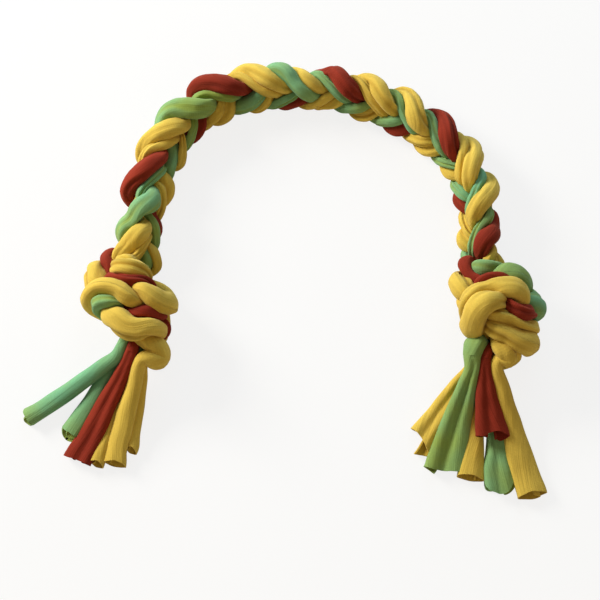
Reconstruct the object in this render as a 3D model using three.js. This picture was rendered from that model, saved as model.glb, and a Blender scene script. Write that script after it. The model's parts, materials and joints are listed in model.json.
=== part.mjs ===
// A tug toy for dogs, plaited from six strips of T-shirt jersey: three yellow, two green and one red.
// The strips go in pairs, as the three strands of a plait. At each end all six are tied together in an
// overhand knot, and their loose ends hang out of it as a tassel. The toy lies on the floor in an arch.
import * as THREE from "three";

// Driving dimensions, in millimetres.
const ARCH_SPAN = 208.5; // between the two necks, where the plait goes into the knots
const ARCH_RISE = 117.5; // from the right neck to the top of the arch
const PLAIT_HEIGHT = 10.5; // the plait's middle line above the floor
const PLAIT_DIAMETER = 6.0; // a typical strip curled into a cord and pressed in the plait
const STRAND_REACH = 6.7; // how far a strand swings to either side of the plait's middle
const STRAND_LIFT = 4.5; // and how far above and below it
const PAIR_SPACING = 6.6; // between the two strips of one strand
const KNOT_DIAMETER = 7.0; // a typical strip in a knot
const KNOT_LENGTH = 56.0; // from a neck to where the tails leave the knot
const KNOT_HEIGHT = 23.0; // a knot's middle above the floor
const EXIT_HEIGHT = 19.0; // the middle of the six strips above the floor where they leave the knot
const EXIT_SPACING = 7.2; // between them there
const EXIT_POINT_SPACING = 4.0; // between the points of their straight start
const TAIL_LENGTH = 80.0; // the reach of a typical tail
const TAIL_DIAMETER = 6.4; // at its root
const TIP_WIDTH = 12.0; // the cloth uncurls towards its end
const TIP_THICKNESS = 6.4;
const TIP_HEIGHT = 2.6; // the middle of a tip that lies on the floor
const RAISED_TIP_HEIGHT = 10.5; // and of one that lies on another tail
const SEAM_GAP = 0.8; // left between two strips that press on each other
const BEND_RADIUS = 15.5; // of the round end that a part of the toy turns on
const BEND_GAP = 0.6; // left round it, and round the root of a tail
const END_GAP = 1.0; // from there to the middle of a strip's last section
const NECK_LENGTH = 16.0; // from the end of the plait back to the bend above the knot
const EASING_LENGTH = 12.0; // in which a strip goes from one width to another
const REST_HEIGHT = 4.2; // the lowest that a strip's middle lies in the knots

// Spacing of the points and sections along a strip, in millimetres.
const PLAIT_RING_SPACING = 7.0;
const KNOT_RING_SPACING = 5.6;
const TAIL_RING_SPACING = 10.0;
const FINE_SPACING = 1.5; // between the points that tell one strip's room from another's
const PLAIT_FINE_SPACING = 3.0; // while the plait settles
const PLAIT_OVERRUN = 14.0; // of the plait past its ends while it settles
const LOOSE_SPACING = 5.0; // while a knot is tied
const TAKEN_SPACING = 2.75; // on the end of the plait, which the tying holds still

// The loose overhand knot that is drawn tight, in millimetres.
const LOOSE_KNOT_SIZE = 16.0;
const LOOSE_OFFSET = 19.0; // of its middle from the line between neck and tails
const LOOSE_LEAD = 30.0; // of rope going straight into it and out of it
const NECK_LEAD = 15.0; // straight out of the neck
const EXIT_LEAD = 20.0; // straight into the place where the tails leave
const SAG = 0.05; // how far the strips sink in one round of the tying

// Counts, angles and shares.
const PLAIT_TURNS = 5; // swings of one strand from side to side and back, between the knots
const STRAND_COUNT = 3;
const LIFTS_PER_SWING = 2; // a strand rises and falls twice while it swings to one side and back
const SECTION_SIDES = 7;
const HELD_POINTS = 5; // of each strip, held still at the end of the plait while a knot is tied
const TYING_ROUNDS = 360;
const PLAIT_ROUNDS = 80;
const PLAIT_HOLD_SHARE = 0.02; // how much the settling plait is drawn back to its formula in a round
const DRAWN_SHARE = 0.38; // of its loose length is left of a strip in the tied knot
const SWELL_SHARE = 1.6; // of a strip's half width that it reaches where nothing presses on it
const PRESSED_SHARE = 0.7; // of its width is left of a strip where another presses on it in a knot
const TURNING_SHARES = [0.35, 0.7]; // of the plait, between which the pair of a strand may turn over
const APEX_SHARE = 0.5; // along the plait, of the bend at the top of the arch
const STRAND_ROCK = THREE.MathUtils.degToRad(125); // turn of a strand's flat side at the plait's edges
const PLAIT_ROLL = THREE.MathUtils.degToRad(58); // the plait lies with its outer edge turned up
const PLAIT_START = THREE.MathUtils.degToRad(75); // of the first strand's swing at the left neck
const SLOT_TURN = THREE.MathUtils.degToRad(86); // of the bundle of six strips as it goes into a knot

// The plait's middle line on the floor, from the left neck to the right one: across in shares of the
// span, and up in shares of the rise.
const ARCH_SHARES = [
  [-0.5, 0.043], [-0.481, 0.272], [-0.447, 0.579], [-0.39, 0.757], [-0.313, 0.894], [-0.227, 0.97],
  [-0.135, 1], [-0.035, 0.991], [0.066, 0.979], [0.147, 0.953], [0.234, 0.894], [0.315, 0.8],
  [0.397, 0.698], [0.459, 0.562], [0.488, 0.391], [0.495, 0.17], [0.5, 0],
];

const YELLOW = "#e3b53c";
const GREEN = "#63a866";
const RED = "#8a2415";

// Each strip belongs to a strand and lies on one side of its pair. The pair is turned by pairTurn, in
// degrees, and a strip's width in the plait is in shares of a typical one. Both go from the first value to
// the second along the plait.
const STRIPS = [
  {
    name: "yellow_strip_1", colour: YELLOW, strand: 0, side: -1,
    pairTurn: [15, 15], plaitShares: [1.4, 1.4],
  },
  {
    name: "yellow_strip_2", colour: YELLOW, strand: 0, side: 1,
    pairTurn: [15, 15], plaitShares: [0.7, 0.7],
  },
  {
    name: "green_strip_1", colour: GREEN, strand: 1, side: 1,
    pairTurn: [-75, 35], plaitShares: [1.5, 0.6],
  },
  {
    name: "yellow_strip_3", colour: YELLOW, strand: 1, side: -1,
    pairTurn: [-75, 35], plaitShares: [0.55, 1.45],
  },
  {
    name: "red_strip", colour: RED, strand: 2, side: -1,
    pairTurn: [35, 35], plaitShares: [1.45, 1.4],
  },
  {
    name: "green_strip_2", colour: GREEN, strand: 2, side: 1,
    pairTurn: [35, 35], plaitShares: [0.55, 0.7],
  },
];

// The places of the six strips in their bundle, as it goes into a knot and comes out of it again: across
// and up, in strips.
const SLOTS = [[-1, 0.5], [0, 0.5], [1, 0.5], [-1, -0.5], [0, -0.5], [1, -0.5]];

// The two ends of the toy. knotShares and exitShares give the places of the knot's middle and of the exit
// from the neck, in shares of the knot's length. The lists are in the order of STRIPS: each one's slot in
// the bundle that goes into the knot, its width in the knot in shares of a typical one, its slot in the
// bundle that comes out, the tip of its tail from there in shares of the tail length, the width of the
// tip in shares of a typical one, and whether it lies on another tail.
const ENDS = [
  {
    side: "left",
    knotShares: [-0.054, -0.52],
    exitShares: [0.036, -1],
    spin: THREE.MathUtils.degToRad(190),
    slots: [3, 5, 2, 1, 4, 0],
    widthShares: [1.45, 1.35, 0.35, 0.35, 1.1, 0.95],
    tailSlots: [2, 4, 0, 5, 1, 3],
    tipShares: [
      [-0.16, -0.85], [-0.3, -0.85], [-0.84, -0.51], [-0.06, -0.74], [-0.425, -0.81], [-0.525, -0.65],
    ],
    tipWidthShares: [1.2, 0.8, 1.05, 0.75, 1.5, 0.9],
    raised: [false, false, false, false, false, false],
  },
  {
    side: "right",
    knotShares: [0.08, -0.5],
    exitShares: [0.009, -0.98],
    spin: THREE.MathUtils.degToRad(210),
    slots: [0, 3, 5, 1, 4, 2],
    widthShares: [1.7, 1.4, 1.6, 0.45, 1.1, 0.5],
    tailSlots: [2, 4, 0, 3, 1, 5],
    tipShares: [
      [0.325, -1.04], [-0.125, -0.9], [-0.35, -0.875], [-0.55, -0.7], [0.025, -0.625], [0.09, -1.01],
    ],
    tipWidthShares: [1.6, 1.25, 2.1, 1.15, 1.85, 1.7],
    raised: [false, false, false, false, true, false],
  },
];

const { clamp, degToRad, lerp, smoothstep } = THREE.MathUtils;
const UP = new THREE.Vector3(0, 0, 1);
const FULL_TURN = 2 * Math.PI;

// Lengths along a line of points, and new points at even distances on it.
function lengthsAlong(points) {
  const lengths = [0];
  for (let i = 1; i < points.length; i++) {
    lengths.push(lengths[i - 1] + points[i].distanceTo(points[i - 1]));
  }
  return lengths;
}

function spread(points, count, from = 0, to = 1) {
  const lengths = lengthsAlong(points);
  const total = lengths[lengths.length - 1];
  const result = [];
  let segment = 0;
  for (let i = 0; i <= count; i++) {
    const target = total * lerp(from, to, i / count);
    while (segment < points.length - 2 && lengths[segment + 1] < target) segment++;
    const share = (target - lengths[segment]) / (lengths[segment + 1] - lengths[segment]);
    result.push(points[segment].clone().lerp(points[segment + 1], clamp(share, 0, 1)));
  }
  return result;
}

function spreadByStep(points, step) {
  const lengths = lengthsAlong(points);
  return spread(points, Math.max(1, Math.round(lengths[lengths.length - 1] / step)));
}

// A grid of cells that finds what lies near a place.
const GRID_REACH = 1000; // cells to either side of the origin, more than any of these grids has

class Grid {
  constructor(cell) {
    this.cell = cell;
    this.cells = new Map();
  }

  key(i, j, k) {
    const row = 2 * GRID_REACH;
    return ((i + GRID_REACH) * row + j + GRID_REACH) * row + k + GRID_REACH;
  }

  add(x, y, z, item) {
    const key = this.key(Math.floor(x / this.cell), Math.floor(y / this.cell), Math.floor(z / this.cell));
    if (!this.cells.has(key)) this.cells.set(key, []);
    this.cells.get(key).push(item);
  }

  near(x, y, z) {
    const found = [];
    for (let i = Math.floor(x / this.cell) - 1; i <= Math.floor(x / this.cell) + 1; i++) {
      for (let j = Math.floor(y / this.cell) - 1; j <= Math.floor(y / this.cell) + 1; j++) {
        for (let k = Math.floor(z / this.cell) - 1; k <= Math.floor(z / this.cell) + 1; k++) {
          const items = this.cells.get(this.key(i, j, k));
          if (items) for (const item of items) found.push(item);
        }
      }
    }
    return found;
  }
}

// Settles strips as limp cords. Each keeps the distances between its points, bends smoothly, and is pushed
// away by the others and by itself where they come closer than their widths allow. Held points stay.
const BEND_PASSES = 3;
const PUSH_PASSES = 2;
const SEARCH_ROUNDS = 3; // between two searches for points that come close
const EASE_SHARE = 0.15; // of the way to the middle of its neighbours that a point moves in a pass
const PUSH_SHARE = 0.3; // of an overlap that each of two points moves in a pass
const DRAWING_SHARE = 0.7; // of the rounds, in which the strips are drawn tight
const SINKING_SHARE = 0.4; // of the drawing is done when the strips begin to sink
const NEAR_SHARE = 1.25; // of the widest strip, how far apart points may be to be watched
const OWN_SHARE = 1.6; // of it, how much of a strip's own length on either side isn't pushed away

function settle(lines, options) {
  const { rounds, step, widthAt, heldAt, drawnAt, lowestAt, drawnShare, holdShare, sag } = options;
  const offsets = [0];
  lines.forEach((line) => offsets.push(offsets[offsets.length - 1] + line.length));
  const total = offsets[lines.length];
  const place = new Float64Array(3 * total);
  const strip = new Int32Array(total);
  const held = new Uint8Array(total);
  const drawing = new Uint8Array(total);
  const width = new Float64Array(total);
  const lowest = new Float64Array(total);
  const rest = new Float64Array(total);
  lines.forEach((line, k) => line.forEach((point, i) => {
    const a = offsets[k] + i;
    point.toArray(place, 3 * a);
    strip[a] = k;
    held[a] = heldAt(k, i) ? 1 : 0;
    drawing[a] = drawnAt(k, i) ? 1 : 0;
    width[a] = widthAt(k, i);
    lowest[a] = lowestAt(k, i);
    rest[a] = i + 1 < line.length ? point.distanceTo(line[i + 1]) : 0;
  }));
  const start = place.slice();
  const widest = Math.max(...width);
  const push = new Float64Array(3 * total);
  const pushes = new Float64Array(total);
  let pairs = [];

  function findPairs(spacing) {
    const skip = Math.ceil((OWN_SHARE * widest) / spacing) + 1;
    const cell = NEAR_SHARE * widest;
    const grid = new Grid(cell);
    for (let a = 0; a < total; a++) grid.add(place[3 * a], place[3 * a + 1], place[3 * a + 2], a);
    pairs = [];
    for (let a = 0; a < total; a++) {
      for (const b of grid.near(place[3 * a], place[3 * a + 1], place[3 * a + 2])) {
        if (b <= a || (strip[a] === strip[b] && b - a <= skip)) continue;
        const dx = place[3 * b] - place[3 * a];
        const dy = place[3 * b + 1] - place[3 * a + 1];
        const dz = place[3 * b + 2] - place[3 * a + 2];
        if (dx * dx + dy * dy + dz * dz < cell * cell) pairs.push(a, b);
      }
    }
  }

  function smooth(first, last) {
    for (let parity = 0; parity < 2; parity++) {
      for (let a = first + 1 + parity; a < last; a += 2) {
        if (held[a]) continue;
        for (let c = 3 * a; c < 3 * a + 3; c++) {
          place[c] += EASE_SHARE * ((place[c - 3] + place[c + 3]) / 2 - place[c]);
        }
      }
    }
  }

  function stretch(first, last, drawn) {
    for (let parity = 0; parity < 2; parity++) {
      for (let a = first + parity; a < last; a += 2) {
        const free = 2 - held[a] - held[a + 1];
        if (!free) continue;
        const dx = place[3 * a + 3] - place[3 * a];
        const dy = place[3 * a + 4] - place[3 * a + 1];
        const dz = place[3 * a + 5] - place[3 * a + 2];
        const goal = rest[a] * (drawing[a] ? drawn : 1);
        const share = (1 - goal / Math.hypot(dx, dy, dz)) / free;
        const before = held[a] ? 0 : share;
        const after = held[a + 1] ? 0 : share;
        place[3 * a] += before * dx;
        place[3 * a + 1] += before * dy;
        place[3 * a + 2] += before * dz;
        place[3 * a + 3] -= after * dx;
        place[3 * a + 4] -= after * dy;
        place[3 * a + 5] -= after * dz;
      }
    }
  }

  function pushApart() {
    push.fill(0);
    pushes.fill(0);
    for (let p = 0; p < pairs.length; p += 2) {
      const a = pairs[p];
      const b = pairs[p + 1];
      const dx = place[3 * b] - place[3 * a];
      const dy = place[3 * b + 1] - place[3 * a + 1];
      const dz = place[3 * b + 2] - place[3 * a + 2];
      const distance = Math.hypot(dx, dy, dz);
      const wanted = (width[a] + width[b]) / 2;
      if (distance >= wanted || distance === 0) continue;
      const share = (PUSH_SHARE * (wanted - distance)) / distance;
      push[3 * a] -= share * dx;
      push[3 * a + 1] -= share * dy;
      push[3 * a + 2] -= share * dz;
      push[3 * b] += share * dx;
      push[3 * b + 1] += share * dy;
      push[3 * b + 2] += share * dz;
      pushes[a]++;
      pushes[b]++;
    }
    for (let a = 0; a < total; a++) {
      if (held[a] || !pushes[a]) continue;
      const share = 1 / Math.max(1, pushes[a] / 2);
      for (let c = 3 * a; c < 3 * a + 3; c++) place[c] += share * push[c];
    }
  }

  for (let round = 0; round < rounds; round++) {
    const progress = Math.min(1, round / (DRAWING_SHARE * rounds));
    const drawn = lerp(1, drawnShare, progress);
    if (round % SEARCH_ROUNDS === 0) findPairs(step * drawn);
    for (let pass = 0; pass < BEND_PASSES; pass++) {
      for (let k = 0; k < lines.length; k++) {
        smooth(offsets[k], offsets[k + 1] - 1);
        stretch(offsets[k], offsets[k + 1] - 1, drawn);
      }
    }
    for (let pass = 0; pass < PUSH_PASSES; pass++) pushApart();
    for (let a = 0; a < total; a++) {
      if (held[a]) continue;
      for (let c = 3 * a; c < 3 * a + 3; c++) place[c] += holdShare * (start[c] - place[c]);
      if (progress > SINKING_SHARE) place[3 * a + 2] -= sag;
      if (place[3 * a + 2] < lowest[a]) place[3 * a + 2] += (lowest[a] - place[3 * a + 2]) / 2;
    }
  }
  const pointAt = (a) => new THREE.Vector3().fromArray(place, 3 * a);
  return lines.map((line, k) => line.map((_, i) => pointAt(offsets[k] + i)));
}

// The plait's middle line, which runs on straight past its two ends.
const arch = new THREE.CatmullRomCurve3(
  ARCH_SHARES.map(([across, up]) => new THREE.Vector3(across * ARCH_SPAN, up * ARCH_RISE, PLAIT_HEIGHT)),
  false,
  "centripetal",
);
arch.arcLengthDivisions = 800;
const plaitLength = arch.getLength();
const plaitReach = plaitLength + 2 * PLAIT_OVERRUN;

function plaitMiddle(distance) {
  const share = clamp(distance / plaitLength, 0, 1);
  const tangent = arch.getTangentAt(share);
  const point = arch.getPointAt(share).addScaledVector(tangent, distance - share * plaitLength);
  return { point, tangent };
}

// The width of a strip at a share of the plait's length.
function plaitWidth(strip, share) {
  return PLAIT_DIAMETER * lerp(...strip.plaitShares, smoothstep(share, ...TURNING_SHARES));
}

// A strip's place in the plait: its strand swings from side to side and over and under the others, and
// turns as it goes round the plait's edges. The wider strip of a strand lies nearer to its middle.
function plaitPoint(strip, distance) {
  const { point, tangent } = plaitMiddle(distance);
  const share = distance / plaitLength;
  const outward = new THREE.Vector3(-tangent.y, tangent.x, 0).normalize();
  const across = outward.clone().applyAxisAngle(tangent, PLAIT_ROLL);
  const above = UP.clone().applyAxisAngle(tangent, PLAIT_ROLL);
  const swing = PLAIT_START + FULL_TURN * (PLAIT_TURNS * share - strip.strand / STRAND_COUNT);
  const turned = degToRad(lerp(...strip.pairTurn, smoothstep(share, ...TURNING_SHARES)));
  const pair = FULL_TURN / 4 - STRAND_ROCK * Math.cos(swing) + turned;
  const partner = STRIPS.find((other) => other.strand === strip.strand && other !== strip);
  const partnerWidth = plaitWidth(partner, share);
  const beside = (strip.side * PAIR_SPACING * partnerWidth) / (partnerWidth + plaitWidth(strip, share));
  return point
    .addScaledVector(across, STRAND_REACH * Math.sin(swing) + beside * Math.cos(pair))
    .addScaledVector(above, -STRAND_LIFT * Math.sin(LIFTS_PER_SWING * swing) + beside * Math.sin(pair));
}

// The six strips of the plait, settled so that none lies in another.
function makePlait() {
  const count = Math.round(plaitReach / PLAIT_FINE_SPACING);
  const lines = STRIPS.map((strip) => {
    const points = [];
    for (let i = 0; i <= count; i++) points.push(plaitPoint(strip, (plaitReach * i) / count - PLAIT_OVERRUN));
    return spreadByStep(points, PLAIT_FINE_SPACING);
  });
  return settle(lines, {
    rounds: PLAIT_ROUNDS,
    step: PLAIT_FINE_SPACING,
    widthAt: (k, i) => plaitWidth(STRIPS[k], ((plaitReach * i) / count - PLAIT_OVERRUN) / plaitLength),
    heldAt: () => false,
    drawnAt: () => false,
    lowestAt: () => 0,
    drawnShare: 1,
    holdShare: PLAIT_HOLD_SHARE,
    sag: 0,
  });
}

// A loose overhand knot about the z axis, of unit size.
const LOOSE_END = 2; // the parameter runs to this on either side
const LOOSE_POINTS = 220;
const LEAD_POINTS = 40;
const LEAD_CUT = 3; // points left out of a lead at its outer end

function looseKnot(t) {
  return new THREE.Vector3(t ** 3 - 3 * t, t ** 4 - 4 * t ** 2, (t ** 5 - 10 * t) / 5);
}

// The frame of an end: where its neck, knot, exit and tips are, and the way from the neck to the exit.
function endFrame(end) {
  const neck = plaitMiddle(end.side === "left" ? 0 : plaitLength).point;
  const [knot, exit] = [end.knotShares, end.exitShares].map(([across, up]) => new THREE.Vector3(
    neck.x + across * KNOT_LENGTH,
    neck.y + up * KNOT_LENGTH,
    0,
  ));
  knot.z = KNOT_HEIGHT;
  exit.z = EXIT_HEIGHT;
  const tips = end.tipShares.map(([across, up], k) => new THREE.Vector3(
    exit.x + across * TAIL_LENGTH,
    exit.y + up * TAIL_LENGTH,
    end.raised[k] ? RAISED_TIP_HEIGHT : TIP_HEIGHT,
  ));
  const down = exit.clone().sub(neck).setZ(0).normalize();
  const middleTip = tips.reduce((sum, tip) => sum.add(tip), new THREE.Vector3()).divideScalar(tips.length);
  const away = middleTip.sub(exit).normalize();
  return { neck, knot, exit, tips, down, away };
}

// The middle line of all six strips through the loose knot, from the neck to the exit.
function looseLine(end, { neck, knot, exit, down, away }) {
  const side = new THREE.Vector3().crossVectors(down, UP).normalize();
  const first = side.clone().multiplyScalar(Math.cos(end.spin)).addScaledVector(UP, Math.sin(end.spin));
  const second = UP.clone().multiplyScalar(Math.cos(end.spin)).addScaledVector(side, -Math.sin(end.spin));
  const loose = [];
  for (let i = 0; i <= LOOSE_POINTS; i++) {
    const unit = looseKnot(lerp(-LOOSE_END, LOOSE_END, i / LOOSE_POINTS));
    loose.push(knot.clone()
      .addScaledVector(first, unit.x * LOOSE_KNOT_SIZE)
      .addScaledVector(second, unit.y * LOOSE_KNOT_SIZE + LOOSE_OFFSET)
      .addScaledVector(down, unit.z * LOOSE_KNOT_SIZE));
  }
  const last = loose.length - 1;
  const leadIn = loose[0].clone().sub(loose[1]).setLength(LOOSE_LEAD).add(loose[0]);
  const leadOut = loose[last].clone().sub(loose[last - 1]).setLength(LOOSE_LEAD).add(loose[last]);
  const neckLead = neck.clone().addScaledVector(down, NECK_LEAD);
  const exitLead = exit.clone().addScaledVector(away, -EXIT_LEAD);
  const into = new THREE.CubicBezierCurve3(neck, neckLead, leadIn, loose[0]).getPoints(LEAD_POINTS);
  const out = new THREE.CubicBezierCurve3(loose[last], leadOut, exitLead, exit).getPoints(LEAD_POINTS);
  return spreadByStep([...into.slice(LEAD_CUT, -1), ...loose, ...out.slice(1, -LEAD_CUT)], LOOSE_SPACING);
}

// Frames along a line that follow it without twisting.
function framesAlong(line, above) {
  let up = above.clone();
  return line.map((_, i) => {
    const tangent = line[Math.min(i + 1, line.length - 1)].clone().sub(line[Math.max(i - 1, 0)]).normalize();
    up = up.clone().addScaledVector(tangent, -up.dot(tangent)).normalize();
    return { tangent, above: up, across: new THREE.Vector3().crossVectors(tangent, up) };
  });
}

// Ties all six strips in an overhand knot at one end of the plait, lays out their tails, and draws the
// knot tight. Each line of the result runs from the plait to the tip of a tail. exits has the point of
// each line where its tail begins.
const WIDENING_POINTS = 5; // of a strip after the neck and before the exit, while its width changes

function tie(end, plait) {
  const frame = endFrame(end);
  const { exit, tips, away } = frame;
  const middle = looseLine(end, frame);
  const frames = framesAlong(middle, UP);
  const row = new THREE.Vector3().crossVectors(UP, away).normalize();
  if (row.x < 0) row.negate();
  const stack = new THREE.Vector3().crossVectors(row, away).normalize();
  if (stack.z < 0) stack.negate();
  const ends = end.side === "left" ? [0, 1] : [plaitLength, -1];
  const exits = [];
  const lines = STRIPS.map((_, k) => {
    const held = [];
    for (let i = HELD_POINTS - 1; i >= 0; i--) {
      const share = (ends[0] + ends[1] * i * TAKEN_SPACING + PLAIT_OVERRUN) / plaitReach;
      held.push(spread(plait[k], 1, share, share)[0]);
    }
    const slot = new THREE.Vector2(...SLOTS[end.slots[k]]).rotateAround(new THREE.Vector2(), SLOT_TURN);
    const bundle = middle.map((point, i) => point.clone()
      .addScaledVector(frames[i].across, slot.x * KNOT_DIAMETER)
      .addScaledVector(frames[i].above, slot.y * KNOT_DIAMETER));
    const [across, up] = SLOTS[end.tailSlots[k]];
    const leave = exit.clone()
      .addScaledVector(row, across * EXIT_SPACING)
      .addScaledVector(stack, up * EXIT_SPACING);
    const straight = [1, 2].map((i) => leave.clone().addScaledVector(away, i * EXIT_POINT_SPACING));
    const tied = spreadByStep([held[HELD_POINTS - 1], ...bundle, leave], LOOSE_SPACING);
    const tail = spreadByStep([straight[1], tips[k]], LOOSE_SPACING);
    exits.push(HELD_POINTS - 1 + tied.length - 1);
    return [...held.slice(0, -1), ...tied, ...straight, ...tail.slice(1)];
  });
  const settled = settle(lines, {
    rounds: TYING_ROUNDS,
    step: LOOSE_SPACING,
    widthAt: (k, i) => {
      if (i > exits[k]) return TAIL_DIAMETER;
      const fromNeck = i - HELD_POINTS;
      const fromExit = exits[k] - 1 - i;
      const narrow = fromNeck < fromExit ? plaitWidth(STRIPS[k], end.side === "left" ? 0 : 1) : TAIL_DIAMETER;
      const inside = clamp(Math.min(fromNeck, fromExit) / WIDENING_POINTS, 0, 1);
      return lerp(narrow, PRESSED_SHARE * KNOT_DIAMETER * end.widthShares[k], inside);
    },
    heldAt: (k, i) => i < HELD_POINTS || i === lines[k].length - 1 || (i >= exits[k] && i <= exits[k] + 2),
    drawnAt: (k, i) => i >= HELD_POINTS - 1 && i < exits[k],
    lowestAt: (k, i) => (i > exits[k] ? TIP_HEIGHT : REST_HEIGHT),
    drawnShare: DRAWN_SHARE,
    holdShare: 0,
    sag: SAG,
  });
  return { lines: settled, exits };
}

// The whole course of each strip in fine steps, from the tip of its left tail to the tip of its right one.
// marks has the points of its left pivot, left neck, right neck and right pivot. halves has its half width
// at every point, flats what share of it the half thickness is, and swells how far it may swell.
function layCourses() {
  const plait = makePlait();
  const ties = ENDS.map((end) => tie(end, plait));
  return STRIPS.map((strip, k) => {
    const from = (PLAIT_OVERRUN + HELD_POINTS * TAKEN_SPACING) / plaitReach;
    const count = Math.round((plaitReach * (1 - 2 * from)) / PLAIT_FINE_SPACING);
    const middle = spread(plait[k], count, from, 1 - from);
    const [left, right] = ties.map(({ lines }) => lines[k]);
    const rough = [...left.slice().reverse(), ...middle, ...right];
    const curve = new THREE.CatmullRomCurve3(rough, false, "centripetal");
    curve.arcLengthDivisions = 4 * rough.length;
    const points = curve.getSpacedPoints(Math.round(curve.getLength() / FINE_SPACING));
    const pivots = ties.map(({ lines, exits }) => lines[k][exits[k] + 2]);
    const necks = ties.map(({ lines }) => lines[k][HELD_POINTS - 1]);
    const marks = [pivots[0], necks[0], necks[1], pivots[1]].map((place) => nearest(points, place));
    const halves = points.map((_, i) => halfWidth(k, i, marks, points.length - 1));
    const flats = points.map((_, i) => {
      const past = pastPivot(i, marks, points.length - 1);
      return past > 0 ? lerp(TAIL_DIAMETER, TIP_THICKNESS, past) / (2 * halves[i]) : 1;
    });
    const swells = points.map((_, i) => {
      const fromPivot = FINE_SPACING * Math.max(0, Math.min(i - marks[0], marks[3] - i));
      return lerp(1, SWELL_SHARE, smoothstep(fromPivot, 0, EASING_LENGTH));
    });
    return { strip, points, marks, halves, flats, swells };
  });
}

function nearest(points, place) {
  let best = 0;
  for (let i = 1; i < points.length; i++) {
    if (points[i].distanceToSquared(place) < points[best].distanceToSquared(place)) best = i;
  }
  return best;
}

// How far along a tail a point is, from 0 at its pivot to 1 at its tip.
function pastPivot(i, marks, last) {
  return Math.max(0, (marks[0] - i) / marks[0], (i - marks[3]) / (last - marks[3]));
}

function halfWidth(k, i, marks, last) {
  const [leftPivot, leftNeck, rightNeck, rightPivot] = marks;
  const left = i < leftNeck;
  const past = pastPivot(i, marks, last);
  if (past > 0) return lerp(TAIL_DIAMETER, TIP_WIDTH * ENDS[left ? 0 : 1].tipWidthShares[k], past) / 2;
  const along = (i - leftNeck) / (rightNeck - leftNeck);
  if (along >= 0 && along <= 1) return plaitWidth(STRIPS[k], along) / 2;
  const fromNeck = FINE_SPACING * (left ? leftNeck - i : i - rightNeck);
  const fromPivot = FINE_SPACING * (left ? i - leftPivot : rightPivot - i);
  const wide = KNOT_DIAMETER * ENDS[left ? 0 : 1].widthShares[k];
  const narrow = fromNeck < fromPivot ? plaitWidth(STRIPS[k], left ? 0 : 1) : TAIL_DIAMETER;
  return lerp(narrow, wide, smoothstep(Math.min(fromNeck, fromPivot), 0, EASING_LENGTH)) / 2;
}

const courses = layCourses();
const widestHalf = Math.max(...courses.flatMap((course) => course.halves));
const fineGrid = new Grid(2 * widestHalf);
courses.forEach((course, k) => course.points.forEach((point, i) => {
  fineGrid.add(point.x, point.y, point.z, { point, k, i, half: course.halves[i] });
}));

// The bends of the toy: the left part of the plait carries the left knot and the right part of the plait,
// which carries the right knot.
const neckShare = NECK_LENGTH / plaitLength;
const bends = {
  leftNeck: arch.getPointAt(neckShare),
  apex: arch.getPointAt(APEX_SHARE),
  rightNeck: arch.getPointAt(1 - neckShare),
};

// Where a strip that runs through a bend is cut. The part on the near side ends inside the ball that the
// bend turns on, and the far side begins outside it.
function cutAtBend(k, bend, direction) {
  const { points, marks } = courses[k];
  const plaited = points.slice(marks[1], marks[2] + 1);
  const middle = marks[1] + nearest(plaited, bend);
  const away = (i) => points[i].distanceTo(bend);
  let near = middle;
  while (away(near + direction) < BEND_RADIUS - BEND_GAP / 2 - END_GAP) near += direction;
  let far = near;
  while (away(far) < BEND_RADIUS + BEND_GAP / 2 + END_GAP) far += direction;
  return { near, far };
}

// Where a strip in a knot ends, short of the round root of its tail.
function endAtTail(k, pivot, direction) {
  const { points, halves } = courses[k];
  const socket = halves[pivot] + BEND_GAP + END_GAP;
  let end = pivot;
  while (points[end].distanceTo(points[pivot]) < socket) end += direction;
  return end;
}

// How far a strip may reach from its middle at each direction of a section: to its swollen half width, to
// the plane that it shares with a neighbour, and no further into its own bend than its sections allow.
const SHARED_SHARES = [0.34, 0.66]; // of the distance of two strips' middles, where the plane may lie
const BEND_SHARE = 0.8; // of the radius of a strip's own bend that it fills on the inner side
const CURVE_POINTS = 2; // fine steps to either side that a bend is measured over

const walls = courses.map(() => []);

// The walls of a strip's room at one of its points: the direction of each neighbour, and the strip's reach
// in that direction.
function wallsAt(k, i) {
  if (walls[k][i]) return walls[k][i];
  const centre = courses[k].points[i];
  const half = courses[k].halves[i];
  const own = (2 * OWN_SHARE * half) / FINE_SPACING;
  const near = fineGrid.near(centre.x, centre.y, centre.z);
  walls[k][i] = near.filter((item) => item.k !== k || Math.abs(item.i - i) > own).map((item) => {
    const toward = item.point.clone().sub(centre);
    const distance = toward.length();
    const shared = distance / 2 + (half ** 2 - item.half ** 2) / (2 * distance);
    const plane = clamp(shared, SHARED_SHARES[0] * distance, SHARED_SHARES[1] * distance);
    return { toward: toward.divideScalar(distance), reach: plane - SEAM_GAP / 2 };
  }).filter(({ reach }) => reach < SWELL_SHARE * half + FINE_SPACING);
  return walls[k][i];
}

function bendOf(points, i) {
  const a = points[Math.max(0, i - CURVE_POINTS)];
  const b = points[Math.min(points.length - 1, i + CURVE_POINTS)];
  if (i < CURVE_POINTS || i > points.length - 1 - CURVE_POINTS) return new THREE.Vector3();
  return a.clone().add(b).addScaledVector(points[i], -2).divideScalar((CURVE_POINTS * FINE_SPACING) ** 2);
}

function roomAt(k, i, directions) {
  const { halves, flats, swells, points } = courses[k];
  const widest = swells[i] * halves[i];
  const rooms = directions.map(({ z }) => widest / Math.sqrt(1 + (1 / flats[i] ** 2 - 1) * z ** 2));
  for (const { toward, reach } of wallsAt(k, i)) {
    directions.forEach((direction, d) => {
      const slope = direction.dot(toward);
      if (slope > 0) rooms[d] = Math.min(rooms[d], reach / slope);
    });
  }
  const bend = bendOf(points, i);
  directions.forEach((direction, d) => {
    const slope = direction.dot(bend);
    if (slope > 0) rooms[d] = Math.min(rooms[d], BEND_SHARE / slope);
  });
  return rooms;
}

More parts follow.
